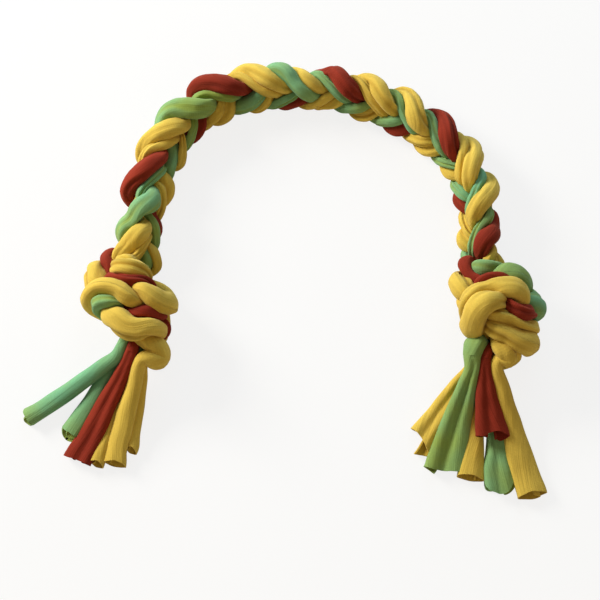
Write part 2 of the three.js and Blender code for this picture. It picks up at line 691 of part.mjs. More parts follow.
// The directions of a section's corners.
function cornersOf({ across, above }) {
  return Array.from({ length: SECTION_SIDES }, (_, d) => {
    const angle = (FULL_TURN * (d + 1 / 2)) / SECTION_SIDES;
    return across.clone().multiplyScalar(Math.cos(angle)).addScaledVector(above, Math.sin(angle));
  });
}

// How far a strip may reach from a point in a direction before it leaves the ball that it is in, or comes
// to the ball that it is outside of.
function roomToBall(from, direction, ball) {
  const toBall = ball.center.clone().sub(from);
  const along = toBall.dot(direction);
  const half = Math.sqrt(Math.max(0, ball.radius ** 2 - toBall.lengthSq() + along ** 2));
  if (toBall.length() < ball.radius) return along + half;
  return along > 0 && half > 0 ? along - half : Infinity;
}

// Draws a ring in where a point of the surface comes too near to another strip's room.
const MENDING_PASSES = 7;
const PROBE_SHARES = [0.25, 0.5, 0.75]; // of an edge, where it is tested
const LEAST_SHARE = 0.25; // of a strip's half width that is always left

function mend(k, rings, sockets) {
  const course = courses[k];
  const at = (ring, d) => ring.centre.clone().addScaledVector(ring.directions[d], ring.rooms[d]);
  for (let pass = 0; pass < MENDING_PASSES; pass++) {
    for (let r = 0; r + 1 < rings.length; r++) {
      for (let d = 0; d < SECTION_SIDES; d++) {
        const corners = [[rings[r], d], [rings[r + 1], d], [rings[r], (d + 1) % SECTION_SIDES]];
        const [a, b, c] = corners.map((corner) => at(...corner));
        const probes = PROBE_SHARES.flatMap((share) => [a.clone().lerp(b, share), b.clone().lerp(c, share)]);
        const lack = Math.max(
          ...probes.map((probe) => lackAt(k, probe, rings[r].i, rings[r + 1].i)),
          ...probes.flatMap((probe) => sockets.map((ball) => -ball.distanceToPoint(probe))),
        );
        if (lack === 0) continue;
        for (const [ring, side] of corners) {
          ring.rooms[side] = Math.max(LEAST_SHARE * course.halves[ring.i], ring.rooms[side] - lack);
        }
      }
    }
  }
}

function lackAt(k, probe, from, to) {
  const course = courses[k];
  let own = from;
  for (let i = from; i <= to; i++) {
    if (course.points[i].distanceToSquared(probe) < course.points[own].distanceToSquared(probe)) own = i;
  }
  const way = probe.clone().sub(course.points[own]);
  return Math.max(0, ...wallsAt(k, own).map(({ toward, reach }) => way.dot(toward) - reach));
}

// A stretch of a strip as a closed solid: rings along it, a round end at either side, and a flat side
// where it lies on the floor.
const CAP_ANGLE = FULL_TURN / 8; // of the ring between a round end's rim and its pole
const FLAT_END_SHARE = 0.35; // of a strip's half width, how far a tail's open end bulges
const LONGEST_END_SHARE = 2; // of it, the most that a round end reaches out to meet its ball

// How an end bulges past its last ring: on along the strip, and towards the ball that it turns on or in.
function bulge({ centre, tangent, rooms }, sign, ball) {
  const half = rooms.reduce((sum, room) => sum + room, 0) / SECTION_SIDES;
  const onward = tangent.clone().multiplyScalar(sign);
  if (!ball) return onward.multiplyScalar(FLAT_END_SHARE * half);
  const toBall = ball.center.clone().sub(centre);
  if (toBall.length() > ball.radius) onward.add(toBall.normalize()).normalize();
  const met = new THREE.Ray(centre, onward).intersectSphere(ball, new THREE.Vector3());
  return onward.multiplyScalar(met ? Math.min(met.distanceTo(centre), LONGEST_END_SHARE * half) : half);
}

function makeStretch(name, k, [from, to], step, [startBall, endBall]) {
  const course = courses[k];
  const balls = [startBall, endBall].filter((ball) => ball);
  const count = Math.max(2, Math.round(((to - from) * FINE_SPACING) / step));
  const frames = framesAlong(course.points.slice(from, to + 1), UP);
  const rings = [];
  for (let r = 0; r <= count; r++) {
    const offset = Math.round(((to - from) * r) / count);
    const directions = cornersOf(frames[offset]);
    const i = from + offset;
    const { tangent } = frames[offset];
    const centre = course.points[i];
    const least = LEAST_SHARE * course.halves[i];
    const rooms = roomAt(k, i, directions).map((room, d) => {
      const toBalls = balls.map((ball) => roomToBall(centre, directions[d], ball));
      return Math.max(least, Math.min(room, ...toBalls));
    });
    rings.push({ i, tangent, directions, centre, rooms });
  }
  mend(k, rings, balls.filter((ball) => !rings.some(({ centre }) => ball.containsPoint(centre))));

  const positions = [];
  const loops = [];
  const addLoop = (ring, scale, shift, ball) => {
    loops.push(ring.directions.map((direction, d) => {
      const way = shift.clone().addScaledVector(direction, scale * ring.rooms[d]);
      const reach = ball ? roomToBall(ring.centre, way.clone().normalize(), ball) : Infinity;
      positions.push(way.clampLength(0, reach).add(ring.centre));
      return positions.length - 1;
    }));
  };
  const addPole = (ring, shift) => {
    positions.push(ring.centre.clone().add(shift));
    return positions.length - 1;
  };
  const start = bulge(rings[0], -1, startBall);
  const end = bulge(rings[count], 1, endBall);
  const [sine, cosine] = [Math.sin(CAP_ANGLE), Math.cos(CAP_ANGLE)];
  const startPole = addPole(rings[0], start);
  addLoop(rings[0], cosine, start.clone().multiplyScalar(sine), startBall);
  rings.forEach((ring) => addLoop(ring, 1, new THREE.Vector3()));
  addLoop(rings[count], cosine, end.clone().multiplyScalar(sine), endBall);
  const endPole = addPole(rings[count], end);

  const triangles = [];
  for (let d = 0; d < SECTION_SIDES; d++) {
    const next = (d + 1) % SECTION_SIDES;
    triangles.push(startPole, loops[0][d], loops[0][next]);
    for (let l = 0; l + 1 < loops.length; l++) {
      triangles.push(loops[l][d], loops[l + 1][d], loops[l][next]);
      triangles.push(loops[l][next], loops[l + 1][d], loops[l + 1][next]);
    }
    triangles.push(endPole, loops[loops.length - 1][next], loops[loops.length - 1][d]);
  }
  positions.forEach((position) => position.setZ(Math.max(0, position.z)));
  const geometry = new THREE.BufferGeometry().setFromPoints(positions);
  geometry.setIndex(triangles);
  const { colour } = course.strip;
  const mesh = new THREE.Mesh(
    geometry,
    new THREE.MeshStandardMaterial({ color: colour, roughness: 0.95, metalness: 0 }),
  );
  mesh.name = name;
  return mesh;
}

// Every strip is cut at the bends and where its tails hang out of the knots.
const toy = new THREE.Group();
const tailPivots = {};
courses.forEach((course, k) => {
  const { strip, points, halves, marks } = course;
  const name = strip.name;
  const left = cutAtBend(k, bends.leftNeck, -1);
  const apex = cutAtBend(k, bends.apex, 1);
  const right = cutAtBend(k, bends.rightNeck, 1);
  const leftKnotEnd = endAtTail(k, marks[0], 1);
  const rightKnotEnd = endAtTail(k, marks[3], -1);
  const inner = (bend) => new THREE.Sphere(bend, BEND_RADIUS - BEND_GAP / 2);
  const outer = (bend) => new THREE.Sphere(bend, BEND_RADIUS + BEND_GAP / 2);
  const roots = [marks[0], marks[3]].map((i) => new THREE.Sphere(points[i], halves[i]));
  const sockets = roots.map(({ center, radius }) => new THREE.Sphere(center, radius + BEND_GAP));
  const stretches = {
    left_tail: [[0, marks[0]], TAIL_RING_SPACING, [null, roots[0]]],
    left_knot: [[leftKnotEnd, left.far], KNOT_RING_SPACING, [sockets[0], outer(bends.leftNeck)]],
    left_plait: [[left.near, apex.near], PLAIT_RING_SPACING, [inner(bends.leftNeck), inner(bends.apex)]],
    right_plait: [[apex.far, right.near], PLAIT_RING_SPACING, [outer(bends.apex), inner(bends.rightNeck)]],
    right_knot: [[right.far, rightKnotEnd], KNOT_RING_SPACING, [outer(bends.rightNeck), sockets[1]]],
    right_tail: [[marks[3], points.length - 1], TAIL_RING_SPACING, [roots[1], null]],
  };
  for (const [place, stretch] of Object.entries(stretches)) {
    toy.add(makeStretch(`${name}_${place}`, k, ...stretch));
  }
  tailPivots[`${name}_left_tail`] = [points[marks[0]], points[0]];
  tailPivots[`${name}_right_tail`] = [points[marks[3]], points[points.length - 1]];
});

// The toy stands with its middle over the origin and its underside on the floor.
const box = new THREE.Box3().setFromObject(toy);
const shift = new THREE.Vector3(-(box.min.x + box.max.x) / 2, -(box.min.y + box.max.y) / 2, -box.min.z);
toy.children.forEach((mesh) => mesh.geometry.translate(shift.x, shift.y, shift.z));

// Where it bends, for whoever poses it.
const shifted = (place) => place.clone().add(shift);
toy.userData.bends = {};
for (const [name, place] of Object.entries(bends)) toy.userData.bends[name] = shifted(place);
toy.userData.tailPivots = {};
for (const [name, places] of Object.entries(tailPivots)) toy.userData.tailPivots[name] = places.map(shifted);

export default toy;
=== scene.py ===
"""A tug toy for dogs, plaited and knotted from six strips of T-shirt jersey, lying on a pale floor.

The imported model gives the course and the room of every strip. Each strip is drawn here as curled
cloth in five pieces: a tail, a knot, the plait, the other knot and the other tail.
"""

import json
import math
from typing import NamedTuple

import bmesh
import bpy
import numpy as np
from mathutils import Euler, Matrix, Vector, noise


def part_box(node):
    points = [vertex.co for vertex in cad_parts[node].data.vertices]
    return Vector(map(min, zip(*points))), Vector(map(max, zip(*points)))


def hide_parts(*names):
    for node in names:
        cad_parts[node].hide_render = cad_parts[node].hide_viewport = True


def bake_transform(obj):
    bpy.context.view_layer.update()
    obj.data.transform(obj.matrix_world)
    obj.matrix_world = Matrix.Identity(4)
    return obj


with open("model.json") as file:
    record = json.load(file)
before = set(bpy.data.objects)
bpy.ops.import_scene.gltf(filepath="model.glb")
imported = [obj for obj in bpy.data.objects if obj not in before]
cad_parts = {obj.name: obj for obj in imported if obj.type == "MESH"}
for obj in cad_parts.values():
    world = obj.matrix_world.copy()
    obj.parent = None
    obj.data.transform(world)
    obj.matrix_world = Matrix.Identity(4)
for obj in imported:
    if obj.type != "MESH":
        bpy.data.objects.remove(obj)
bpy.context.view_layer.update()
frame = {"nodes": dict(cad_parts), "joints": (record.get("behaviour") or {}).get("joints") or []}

bl_info = {
    "name": "Rope dog toy",
    "version": (1, 0, 0),
    "blender": (4, 5, 0),
    "location": "View3D > Sidebar > Rope toy",
    "description": "Dresses the packed rope toy in curled strips of jersey",
    "category": "Add Mesh",
}

MM = 0.001
STRIPS = {
    "yellow_strip_1": "yellow",
    "yellow_strip_2": "yellow",
    "green_strip_1": "green",
    "yellow_strip_3": "yellow",
    "red_strip": "red",
    "green_strip_2": "green",
}
STRETCHES = ("left_tail", "left_knot", "left_plait", "right_plait", "right_knot", "right_tail")
JOINTS = {joint["name"]: joint for joint in frame["joints"]}


# Sizes and colours that a user would change


class RopeToySizes(bpy.types.PropertyGroup):
    """How the cloth of the strips lies"""

    press: bpy.props.FloatProperty(
        name="Press",
        description="How far a strip swells past the packed solid, to touch the next one",
        default=0.0009, min=0, max=0.002, precision=5, unit="LENGTH",
    )
    step: bpy.props.FloatProperty(
        name="Step",
        description="Length of the mesh's faces along a strip",
        default=0.0011, min=0.0005, max=0.005, precision=5, unit="LENGTH",
    )
    crease_depth: bpy.props.FloatProperty(
        name="Crease depth",
        description="Depth of the creases that run along a strip where its edges roll in",
        default=0.0012, min=0, max=0.003, precision=5, unit="LENGTH",
    )
    wrinkle_height: bpy.props.FloatProperty(
        name="Wrinkle height",
        description="Height of the small wrinkles of the cloth",
        default=0.0002, min=0, max=0.001, precision=5, unit="LENGTH",
    )
    cloth_thickness: bpy.props.FloatProperty(
        name="Cloth thickness",
        description="Thickness of the jersey, which shows at the ends of the tails",
        default=0.0009, min=0.0003, max=0.002, precision=5, unit="LENGTH",
    )
    knit_spacing: bpy.props.FloatProperty(
        name="Knit spacing",
        description="Width of one rib of the knit",
        default=0.0011, min=0.0003, max=0.005, precision=5, unit="LENGTH",
    )


def colour_property(label, description, value):
    """A colour that is given as an sRGB hex value."""
    return bpy.props.FloatVectorProperty(
        name=label, description=description, default=linear(value), size=3, min=0, max=1, subtype="COLOR",
    )


def linear(value):
    """The linear colour of an sRGB hex value."""
    channels = (int(value[i:i + 2], 16) / 255 for i in (1, 3, 5))
    return tuple(c / 12.92 if c <= 0.04045 else ((c + 0.055) / 1.055) ** 2.4 for c in channels)


class RopeToyColours(bpy.types.PropertyGroup):
    """The colours of the jersey and of the floor"""

    # The shade colours serve as painted shade in the creases and on the tails' inner sides, and as the tone
    # of the dye's random patches
    yellow: colour_property("Yellow", "The yellow jersey in full light", "#DBBD51")
    yellow_shade: colour_property("Yellow shade", "The yellow jersey in its creases", "#A98424")
    green: colour_property("Green", "The green jersey where it is bluest", "#6FA980")
    green_shade: colour_property("Green shade", "The green jersey where it is yellowest", "#8A9E46")
    red: colour_property("Red", "The red jersey in full light", "#8A2C1A")
    red_shade: colour_property("Red shade", "The red jersey in its creases", "#64180C")
    floor: colour_property("Floor", "The pale floor", "#F4F4F3")


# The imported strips


SECTION_SIDES = 7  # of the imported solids
MERGE_DISTANCE = 0.002 * MM
CAP_LAYERS = 2  # that round off the end of a packed stretch: its pole and the ring next to it
AROUND = 48  # points round a section of the cloth
BETWEEN_CORNERS = 8  # points on the smooth line from one corner of a section to the next
FULL_TURN = 2 * math.pi
ROUND = FULL_TURN * np.arange(AROUND) / AROUND
MIDDLE_SMOOTHING = 2.2 * MM  # of a strip's middle line, along it
REACH_SMOOTHING = 2.6 * MM  # of its sections, along it
AROUND_SMOOTHING = 1.1  # of its sections, in points round them
GATHERED = 6 * MM  # how far from a tail's hinge its sections are drawn even


def sections_of(node):
    """The layers of points of a packed stretch, from the pole at one end to the pole at the other."""
    copy = bmesh.new()
    copy.from_mesh(frame["nodes"][node].data)
    bmesh.ops.remove_doubles(copy, verts=copy.verts, dist=MERGE_DISTANCE)
    found = None
    for pole in [v for v in copy.verts if len(v.link_edges) == SECTION_SIDES]:
        layers = [[pole]]
        seen = {pole}
        while layers[-1]:
            onward = {edge.other_vert(v) for v in layers[-1] for edge in v.link_edges} - seen
            seen |= onward
            layers.append(list(onward))
        layers.pop()
        if len(layers[-1]) == 1 and all(len(layer) == SECTION_SIDES for layer in layers[1:-1]):
            found = [np.array([v.co[:] for v in layer]) for layer in layers]
            break
    copy.free()
    if found is None:
        raise RuntimeError(f"{node} isn't a tube of {SECTION_SIDES} sides")
    return found


def middle_of(points):
    """The middle of the area of a section, with its points put in order round it."""
    mean = points.mean(0)
    _, _, axes = np.linalg.svd(points - mean)
    flat = (points - mean) @ axes[:2].T
    flat = flat[np.argsort(np.arctan2(flat[:, 1], flat[:, 0]))]
    after = np.roll(flat, -1, 0)
    cross = flat[:, 0] * after[:, 1] - flat[:, 1] * after[:, 0]
    centre = ((flat + after) * cross[:, None]).sum(0) / (3 * cross.sum())
    return mean + centre @ axes[:2]


def course_of(strip):
    """The sections of a whole strip from the tip of its left tail to the tip of its right one.

    Gives the middles and the points of the sections, and the stretch that each belongs to.
    """
    runs = [sections_of(f"{strip}_{stretch}") for stretch in STRETCHES]
    poles = (runs[1][0][0], runs[1][-1][0])
    from_start, from_end = (
        min(np.linalg.norm(runs[0][layer][0] - pole) for pole in poles) for layer in (0, -1)
    )
    if from_start < from_end:
        runs[0].reverse()
    for before, run in zip(runs, runs[1:]):
        last = before[-1][0]
        if np.linalg.norm(run[-1][0] - last) < np.linalg.norm(run[0][0] - last):
            run.reverse()
    middles, sections, owners = [], [], []
    for index, run in enumerate(runs):
        for section in run[CAP_LAYERS:-CAP_LAYERS]:
            middles.append(middle_of(section))
            sections.append(section)
            owners.append(index)
    middles.insert(0, runs[0][0][0])
    sections.insert(0, runs[0][CAP_LAYERS])
    owners.insert(0, 0)
    middles.append(runs[-1][-1][0])
    sections.append(runs[-1][-CAP_LAYERS - 1])
    owners.append(len(STRETCHES) - 1)
    return np.array(middles), sections, np.array(owners)


BELL_END = 3  # times its width, where a bell curve is cut off


def smoothed(values, sigma):
    """The rows of values, each drawn towards its neighbours by a bell curve. sigma is in rows."""
    reach = max(1, int(BELL_END * sigma))
    weights = np.exp(-0.5 * (np.arange(-reach, reach + 1) / sigma) ** 2)
    weights /= weights.sum()
    padded = np.concatenate([np.repeat(values[:1], reach, 0), values, np.repeat(values[-1:], reach, 0)])
    return sum(w * padded[i:i + len(values)] for i, w in enumerate(weights))


def spline_through(knots, values, at):
    """The rows of values at the places at, on smooth cubic lines through those given at knots."""
    slopes = np.gradient(values, knots, axis=0)
    index = np.clip(np.searchsorted(knots, at, side="right") - 1, 0, len(knots) - 2)
    width = (knots[index + 1] - knots[index])[:, None]
    t = ((at - knots[index])[:, None]) / width
    a, b = values[index], values[index + 1]
    da, db = slopes[index] * width, slopes[index + 1] * width
    return (
        a * (1 + 2 * t) * (1 - t) ** 2 + da * t * (1 - t) ** 2
        + b * t ** 2 * (3 - 2 * t) + db * t ** 2 * (t - 1)
    )


def turned_frames(tangents):
    """A direction across each tangent, which turns as little as it can along the strip."""
    sides = np.empty_like(tangents)
    side = np.cross(tangents[0], (0, 0, 1))
    for i, tangent in enumerate(tangents):
        side = side - tangent * (side @ tangent)
        side /= np.linalg.norm(side)
        sides[i] = side
    return sides


def rounded(corners):
    """A smooth closed line through the corners of a section, which stand in order."""
    share = np.linspace(0, 1, BETWEEN_CORNERS, endpoint=False)[None, :, None]
    before, start, end, after = (np.roll(corners, shift, 0)[:, None] for shift in (1, 0, -1, -2))
    line = (
        start + 0.5 * share * (end - before)
        + share ** 2 * (before - 2.5 * start + 2 * end - 0.5 * after)
        + share ** 3 * (1.5 * (start - end) + 0.5 * (after - before))
    )
    return line.reshape(-1, 2)


def reach_of(section, middle, side, above):
    """How far a section reaches from its middle at each of the points round it."""
    flat = np.stack([(section - middle) @ side, (section - middle) @ above], 1)
    line = rounded(flat[np.argsort(np.arctan2(flat[:, 1], flat[:, 0]))])
    angle = np.arctan2(line[:, 1], line[:, 0]) % FULL_TURN
    order = np.argsort(angle)
    return np.interp(ROUND, angle[order], np.linalg.norm(line, axis=1)[order], period=FULL_TURN)


def unit(vectors):
    """The vectors, each one long."""
    return vectors / np.linalg.norm(vectors, axis=-1, keepdims=True)


TINY = 1e-9  # of a step or a metre, which no one sees


class Strip:
    """One strip of jersey: its middle line, its frames and its reach all round, in even steps."""

    def __init__(self, name, step):
        middles, sections, owners = course_of(name)
        ways = np.linalg.norm(np.diff(middles, axis=0), axis=1)
        knots = np.concatenate([[0], np.cumsum(ways)])
        self.name = name
        self.count = int(knots[-1] / step)
        self.at = np.linspace(0, knots[-1], self.count)
        self.step = self.at[1]
        self.middles = smoothed(spline_through(knots, middles, self.at), MIDDLE_SMOOTHING / step)
        self.tangents = unit(np.gradient(self.middles, axis=0))
        self.sides = turned_frames(self.tangents)
        self.aboves = np.cross(self.tangents, self.sides)
        reaches = []
        for knot, section in zip(knots, sections):
            i = min(self.count - 1, int(round(knot / self.step)))
            reaches.append(reach_of(section, self.middles[i], self.sides[i], self.aboves[i]))
        reach = smoothed(spline_through(knots, np.array(reaches), self.at), REACH_SMOOTHING / step)
        thrice = np.concatenate([reach, reach, reach], 1)
        reach = smoothed(thrice.T, AROUND_SMOOTHING).T[:, AROUND:2 * AROUND]
        self.owner = owners[np.clip(np.searchsorted(knots, self.at, side="right") - 1, 0, len(owners) - 1)]
        gathered = np.zeros(self.count)
        for side in ("left", "right"):
            hinge = JOINTS[f"{name}_{side}_tail_bend"]["pos_m"]
            root = self.step_near(hinge, f"{side}_tail", f"{side}_knot")
            gathered += np.exp(-0.5 * ((self.at - self.at[root]) / GATHERED) ** 2)
        gathered = np.minimum(gathered, 1)[:, None]
        self.reach = reach * (1 - gathered) + smoothed(reach, GATHERED / step) * gathered

        # A second frame, with one direction that stays level and how far it is turned from the first
        self.level_sides = unit(np.cross(self.tangents, (0, 0, 1)))
        self.level_aboves = np.cross(self.level_sides, self.tangents)
        self.level_turns = np.unwrap(np.arctan2(
            (self.level_sides * self.aboves).sum(1), (self.level_sides * self.sides).sum(1)
        ))

    def step_near(self, place, *stretches):
        """The step that is nearest to a place, among those of some stretches."""
        allowed = np.isin(self.owner, [STRETCHES.index(stretch) for stretch in stretches])
        away = np.linalg.norm(self.middles - np.array(place), axis=1)
        away[~allowed] = np.inf
        return int(np.argmin(away))

    def between(self, values, at):
        """The rows of values at any distances along the strip."""
        place = np.clip(np.asarray(at) / self.step, 0, self.count - 1 - TINY)
        index = place.astype(int)
        share = place - index
        share = share.reshape(share.shape + (1,) * (values.ndim - 1))
        return values[index] * (1 - share) + values[index + 1] * share

    def room(self, at, angle):
        """The strip's reach at distances along it, in directions of its own frame."""
        turn = (angle / FULL_TURN * AROUND) % AROUND
        index = turn.astype(int)
        share = turn - index
        rows = self.between(self.reach, at)
        grid = np.indices(rows.shape[:-1])
        low = rows[(*grid, index % AROUND)]
        high = rows[(*grid, (index + 1) % AROUND)]
        return low * (1 - share) + high * share


# Materials


def add_node(tree, kind, links=None, **settings):
    """Adds a node with its settings, its input values and its links."""
    node = tree.nodes.new(kind)
    for key, value in settings.items():
        if key == "inputs":
            for socket, given in value.items():
                node.inputs[socket].default_value = given
        else:
            setattr(node, key, value)
    for socket, source in (links or {}).items():
        tree.links.new(source, node.inputs[socket])
    return node


def with_alpha(colour):
    """The colour as a socket takes it."""
    return (*colour, 1)


WAVE_BANDS = math.pi / 10  # of a Wave texture's scale, for one band in each unit
ROWS_PER_RIB = 1.25  # rows of stitches in the width of a rib
DYE_PATCHES = 24  # in a metre, so of some 42 mm
DYE_CONTRAST = 3  # of the patches, which a noise leaves near its middle
PULL_LINES = (0.5, 0.035, 1)  # in a millimetre, so 2 mm apart and 29 mm long
FLUFF = 900  # flecks in a metre, so of 1.1 mm, with finer ones down to 0.14 mm on them
FLUFF_HEIGHT = 0.7  # of a stitch's
STREAKS = 0.4  # how far the lines of pull change the colour
FLECKS = 0.3  # how far the fluff does
PLAIN = 0.65  # of the colour without them, so that it is itself on average


def jersey(name, colour, shade, unevenness, sheen, spacing):
    """Cotton jersey, knitted, dyed and washed: matt and soft, with fine ribs and a bloom of fluff.

    A rib of real T-shirt jersey is about 0.8 mm wide. It is drawn a little coarser, so that it shows.
    """
    material = bpy.data.materials.new(name)
    material.use_nodes = True
    tree = material.node_tree
    tree.nodes.clear()
    place = add_node(tree, "ShaderNodeTexCoord").outputs["Object"]
    strip = add_node(tree, "ShaderNodeUVMap", uv_map="strip").outputs["UV"]
    # Painted shade, read from the mesh: how far the creases and the tails' inner sides are darkened towards
    # the shade colour
    crease = add_node(tree, "ShaderNodeAttribute", attribute_name="crease").outputs["Fac"]

    # The dye is uneven, in large patches, and shade is painted into the creases and on the inner side of the
    # tails' cloth
    patches = add_node(
        tree, "ShaderNodeTexNoise", {"Vector": place},
        inputs={"Scale": DYE_PATCHES, "Detail": 2.5, "Roughness": 0.5},
    )
    uneven = add_node(
        tree, "ShaderNodeMath", {0: patches.outputs["Fac"]}, operation="MULTIPLY_ADD",
        inputs={1: DYE_CONTRAST * unevenness, 2: -unevenness},
    )
    dye_and_painted_shade = add_node(
        tree, "ShaderNodeMath", {0: uneven.outputs[0], 1: crease}, operation="ADD", use_clamp=True,
    )
    dye = add_node(
        tree, "ShaderNodeMix", {"Factor": dye_and_painted_shade.outputs[0]}, data_type="RGBA",
        inputs={"A": with_alpha(colour), "B": with_alpha(shade)},
    )

    # Lines of pull run along the strip
    stretched = add_node(tree, "ShaderNodeMapping", {"Vector": strip}, inputs={"Scale": PULL_LINES})
    pull = add_node(
        tree, "ShaderNodeTexNoise", {"Vector": stretched.outputs[0]},
        inputs={"Scale": 1, "Detail": 2, "Roughness": 0.5},
    )

    # Loose fibres break the colour up, and so do the lines of pull
    fluff = add_node(
        tree, "ShaderNodeTexNoise", {"Vector": place}, inputs={"Scale": FLUFF, "Detail": 3, "Roughness": 0.7},
    )
    streaks = add_node(
        tree, "ShaderNodeMath", {0: pull.outputs["Fac"]}, operation="MULTIPLY_ADD",
        inputs={1: STREAKS, 2: PLAIN},
    )
    bloom = add_node(
        tree, "ShaderNodeMath", {0: fluff.outputs["Fac"], 2: streaks.outputs[0]}, operation="MULTIPLY_ADD",
        inputs={1: FLECKS},
    )
    spotted = add_node(
        tree, "ShaderNodeVectorMath", {0: dye.outputs["Result"], "Scale": bloom.outputs[0]},
        operation="SCALE",
    )

    # The knit: ribs that run along the strip, crossed by rows of stitches
    ribs = add_node(
        tree, "ShaderNodeTexWave", {"Vector": strip}, wave_type="BANDS", bands_direction="X",
        inputs={"Scale": WAVE_BANDS / (spacing / MM), "Distortion": 0.6, "Detail": 1},
    )
    rows = add_node(
        tree, "ShaderNodeTexWave", {"Vector": strip}, wave_type="BANDS", bands_direction="Y",
        inputs={"Scale": ROWS_PER_RIB * WAVE_BANDS / (spacing / MM), "Distortion": 0.8, "Detail": 1},
    )
    knit = add_node(
        tree, "ShaderNodeMath", {0: ribs.outputs["Fac"], 1: rows.outputs["Fac"]}, operation="MULTIPLY",
    )
    raised = add_node(
        tree, "ShaderNodeMath", {0: fluff.outputs["Fac"], 2: knit.outputs[0]}, operation="MULTIPLY_ADD",
        inputs={1: FLUFF_HEIGHT},
    )
    pulled = add_node(
        tree, "ShaderNodeBump", {"Height": pull.outputs["Fac"]}, inputs={"Strength": 0.8, "Distance": 0.0006},
    )
    bump = add_node(
        tree, "ShaderNodeBump", {"Height": raised.outputs[0], "Normal": pulled.outputs[0]},
        inputs={"Strength": 0.3, "Distance": 0.0003},
    )
    cloth = add_node(
        tree, "ShaderNodeBsdfPrincipled", {"Base Color": spotted.outputs[0], "Normal": bump.outputs[0]},
        inputs={
            "Roughness": 0.92, "IOR": 1.45, "Specular IOR Level": 0.25,
            "Sheen Weight": 0.25, "Sheen Roughness": 0.5, "Sheen Tint": with_alpha(sheen),
        },
    )
    add_node(tree, "ShaderNodeOutputMaterial", {"Surface": cloth.outputs[0]})
    return material


# The fluff in glancing light
SHEENS = {"yellow": "#FFEFB8", "green": "#B8F4E6", "red": "#E0805C"}
UNEVENNESS = {"yellow": 0.3, "green": 0.9, "red": 0.3}  # how far the dye goes towards its shade


def jersey_of(colour_name):
    """The jersey of one colour, made once."""
    name = f"{colour_name}_cotton_jersey"
    if name in bpy.data.materials:
        return bpy.data.materials[name]
    colours = bpy.context.scene.rope_toy_colours
    return jersey(
        name, getattr(colours, colour_name), getattr(colours, f"{colour_name}_shade"),
        UNEVENNESS[colour_name], linear(SHEENS[colour_name]), bpy.context.scene.rope_toy_sizes.knit_spacing,
    )


# Cloth


CREASES = (
    # the place round the strip in turns, the half width in radians, and the share of the full depth
    (0.08, 0.17, 1.0),
    (0.34, 0.24, 0.5),
    (0.58, 0.17, 0.8),
    (0.83, 0.24, 0.5),
)
LIP_HEIGHT = 0.35  # of a crease's depth, how far the cloth rises beside it
LIP_PLACE = 2.4  # times the half width of a crease, from its middle
LIP_WIDTH = 1.1
CREASE_SHIFT = 0.9  # radians, how far a crease lies elsewhere on each strip
CREASE_WANDER = 1.5  # radians, how far it wanders along a strip
WANDER_LENGTH = 0.032
CREASE_LASTS = 0.6  # of its depth, on the whole
CREASE_FADES = 1.3  # of its depth, how unevenly
FADE_LENGTH = 0.024
ROOT_FADE = 0.010  # from the root of a tail, how far the creases grow to their full depth
CREASE_PAINTED_SHADE = 0.8  # painted shade: how much of the shade colour the deepest crease takes
WRINKLE_SIZE = 0.0045
FINE_WRINKLE_SIZE = 0.0018
FLOOR_CLEARANCE = 0.00005
SHARP_EDGE = math.radians(60)


def creases_of(at, seed):
    """How deep the creases are round a strip at each distance along it, from about -0.3 to 1."""
    depth = np.zeros((len(at), AROUND))
    for index, (turns, width, share) in enumerate(CREASES):
        # Each crease of each strip reads its own place in the noise
        offset = 37.1 * index + 11.3 * seed
        for row, along in enumerate(at):
            wander = noise.noise(Vector((along / WANDER_LENGTH, offset, 0.5)))
            fade = noise.noise(Vector((along / FADE_LENGTH, offset, 7.5)))
            middle = FULL_TURN * turns + CREASE_SHIFT * math.sin(offset) + CREASE_WANDER * wander
            away = np.abs((ROUND - middle + math.pi) % FULL_TURN - math.pi) / width
            lip = LIP_HEIGHT * np.exp(-0.5 * ((away - LIP_PLACE) / LIP_WIDTH) ** 2)
            shape = np.exp(-0.5 * away ** 2) - lip
            depth[row] += share * min(1, max(0, CREASE_LASTS + CREASE_FADES * fade)) * shape
    return np.minimum(depth, 1)


def wrinkles_at(points):
    """The height of the small wrinkles of the cloth at each of the points, from about -1 to 1."""
    flat = points.reshape(-1, 3)
    heights = [
        noise.noise(Vector(p / WRINKLE_SIZE)) + 0.5 * noise.noise(Vector(p / FINE_WRINKLE_SIZE)) for p in flat
    ]
    return np.array(heights).reshape(points.shape[:-1])


STRIP_CACHE = {}


def strip_of(name):
    """The course of a strip, read from the frame once."""
    if name not in STRIP_CACHE:
        STRIP_CACHE[name] = Strip(name, bpy.context.scene.rope_toy_sizes.step)
    return STRIP_CACHE[name]


def cloth_piece(name, verts, faces, uvs, creases):
    """An object of cloth with its faces smooth, its UV map in millimetres and the shade painted into its
    creases.
    """
    verts = np.array(verts)
    verts[:, 2] = np.maximum(verts[:, 2], FLOOR_CLEARANCE)
    mesh = bpy.data.meshes.new(name)
    mesh.from_pydata(verts.tolist(), [], faces)
    layer = mesh.uv_layers.new(name="strip")
    index = np.empty(len(mesh.loops), int)
    mesh.loops.foreach_get("vertex_index", index)
    layer.data.foreach_set("uv", np.asarray(uvs)[index].ravel().astype(np.float32))
    # The painted shade, which the material reads
    attribute = mesh.attributes.new("crease", "FLOAT", "POINT")
    attribute.data.foreach_set("value", np.clip(creases, 0, 1).astype(np.float32))
    shape = bmesh.new()
    shape.from_mesh(mesh)
    bmesh.ops.recalc_face_normals(shape, faces=shape.faces)
    shape.to_mesh(mesh)
    shape.free()
    mesh.shade_smooth()
    mesh.set_sharp_from_angle(angle=SHARP_EDGE)
    piece = bpy.data.objects.new(name, mesh)
    bpy.context.collection.objects.link(piece)
    colour_name = name.split("_")[0]
    mesh.materials.append(jersey_of(colour_name))
    return piece


def bands(rows, columns):
    """The faces between rows of points that each go once round."""
    return [
        (r * columns + c, r * columns + (c + 1) % columns,
         (r + 1) * columns + (c + 1) % columns, (r + 1) * columns + c)
        for r in range(rows - 1) for c in range(columns)
    ]


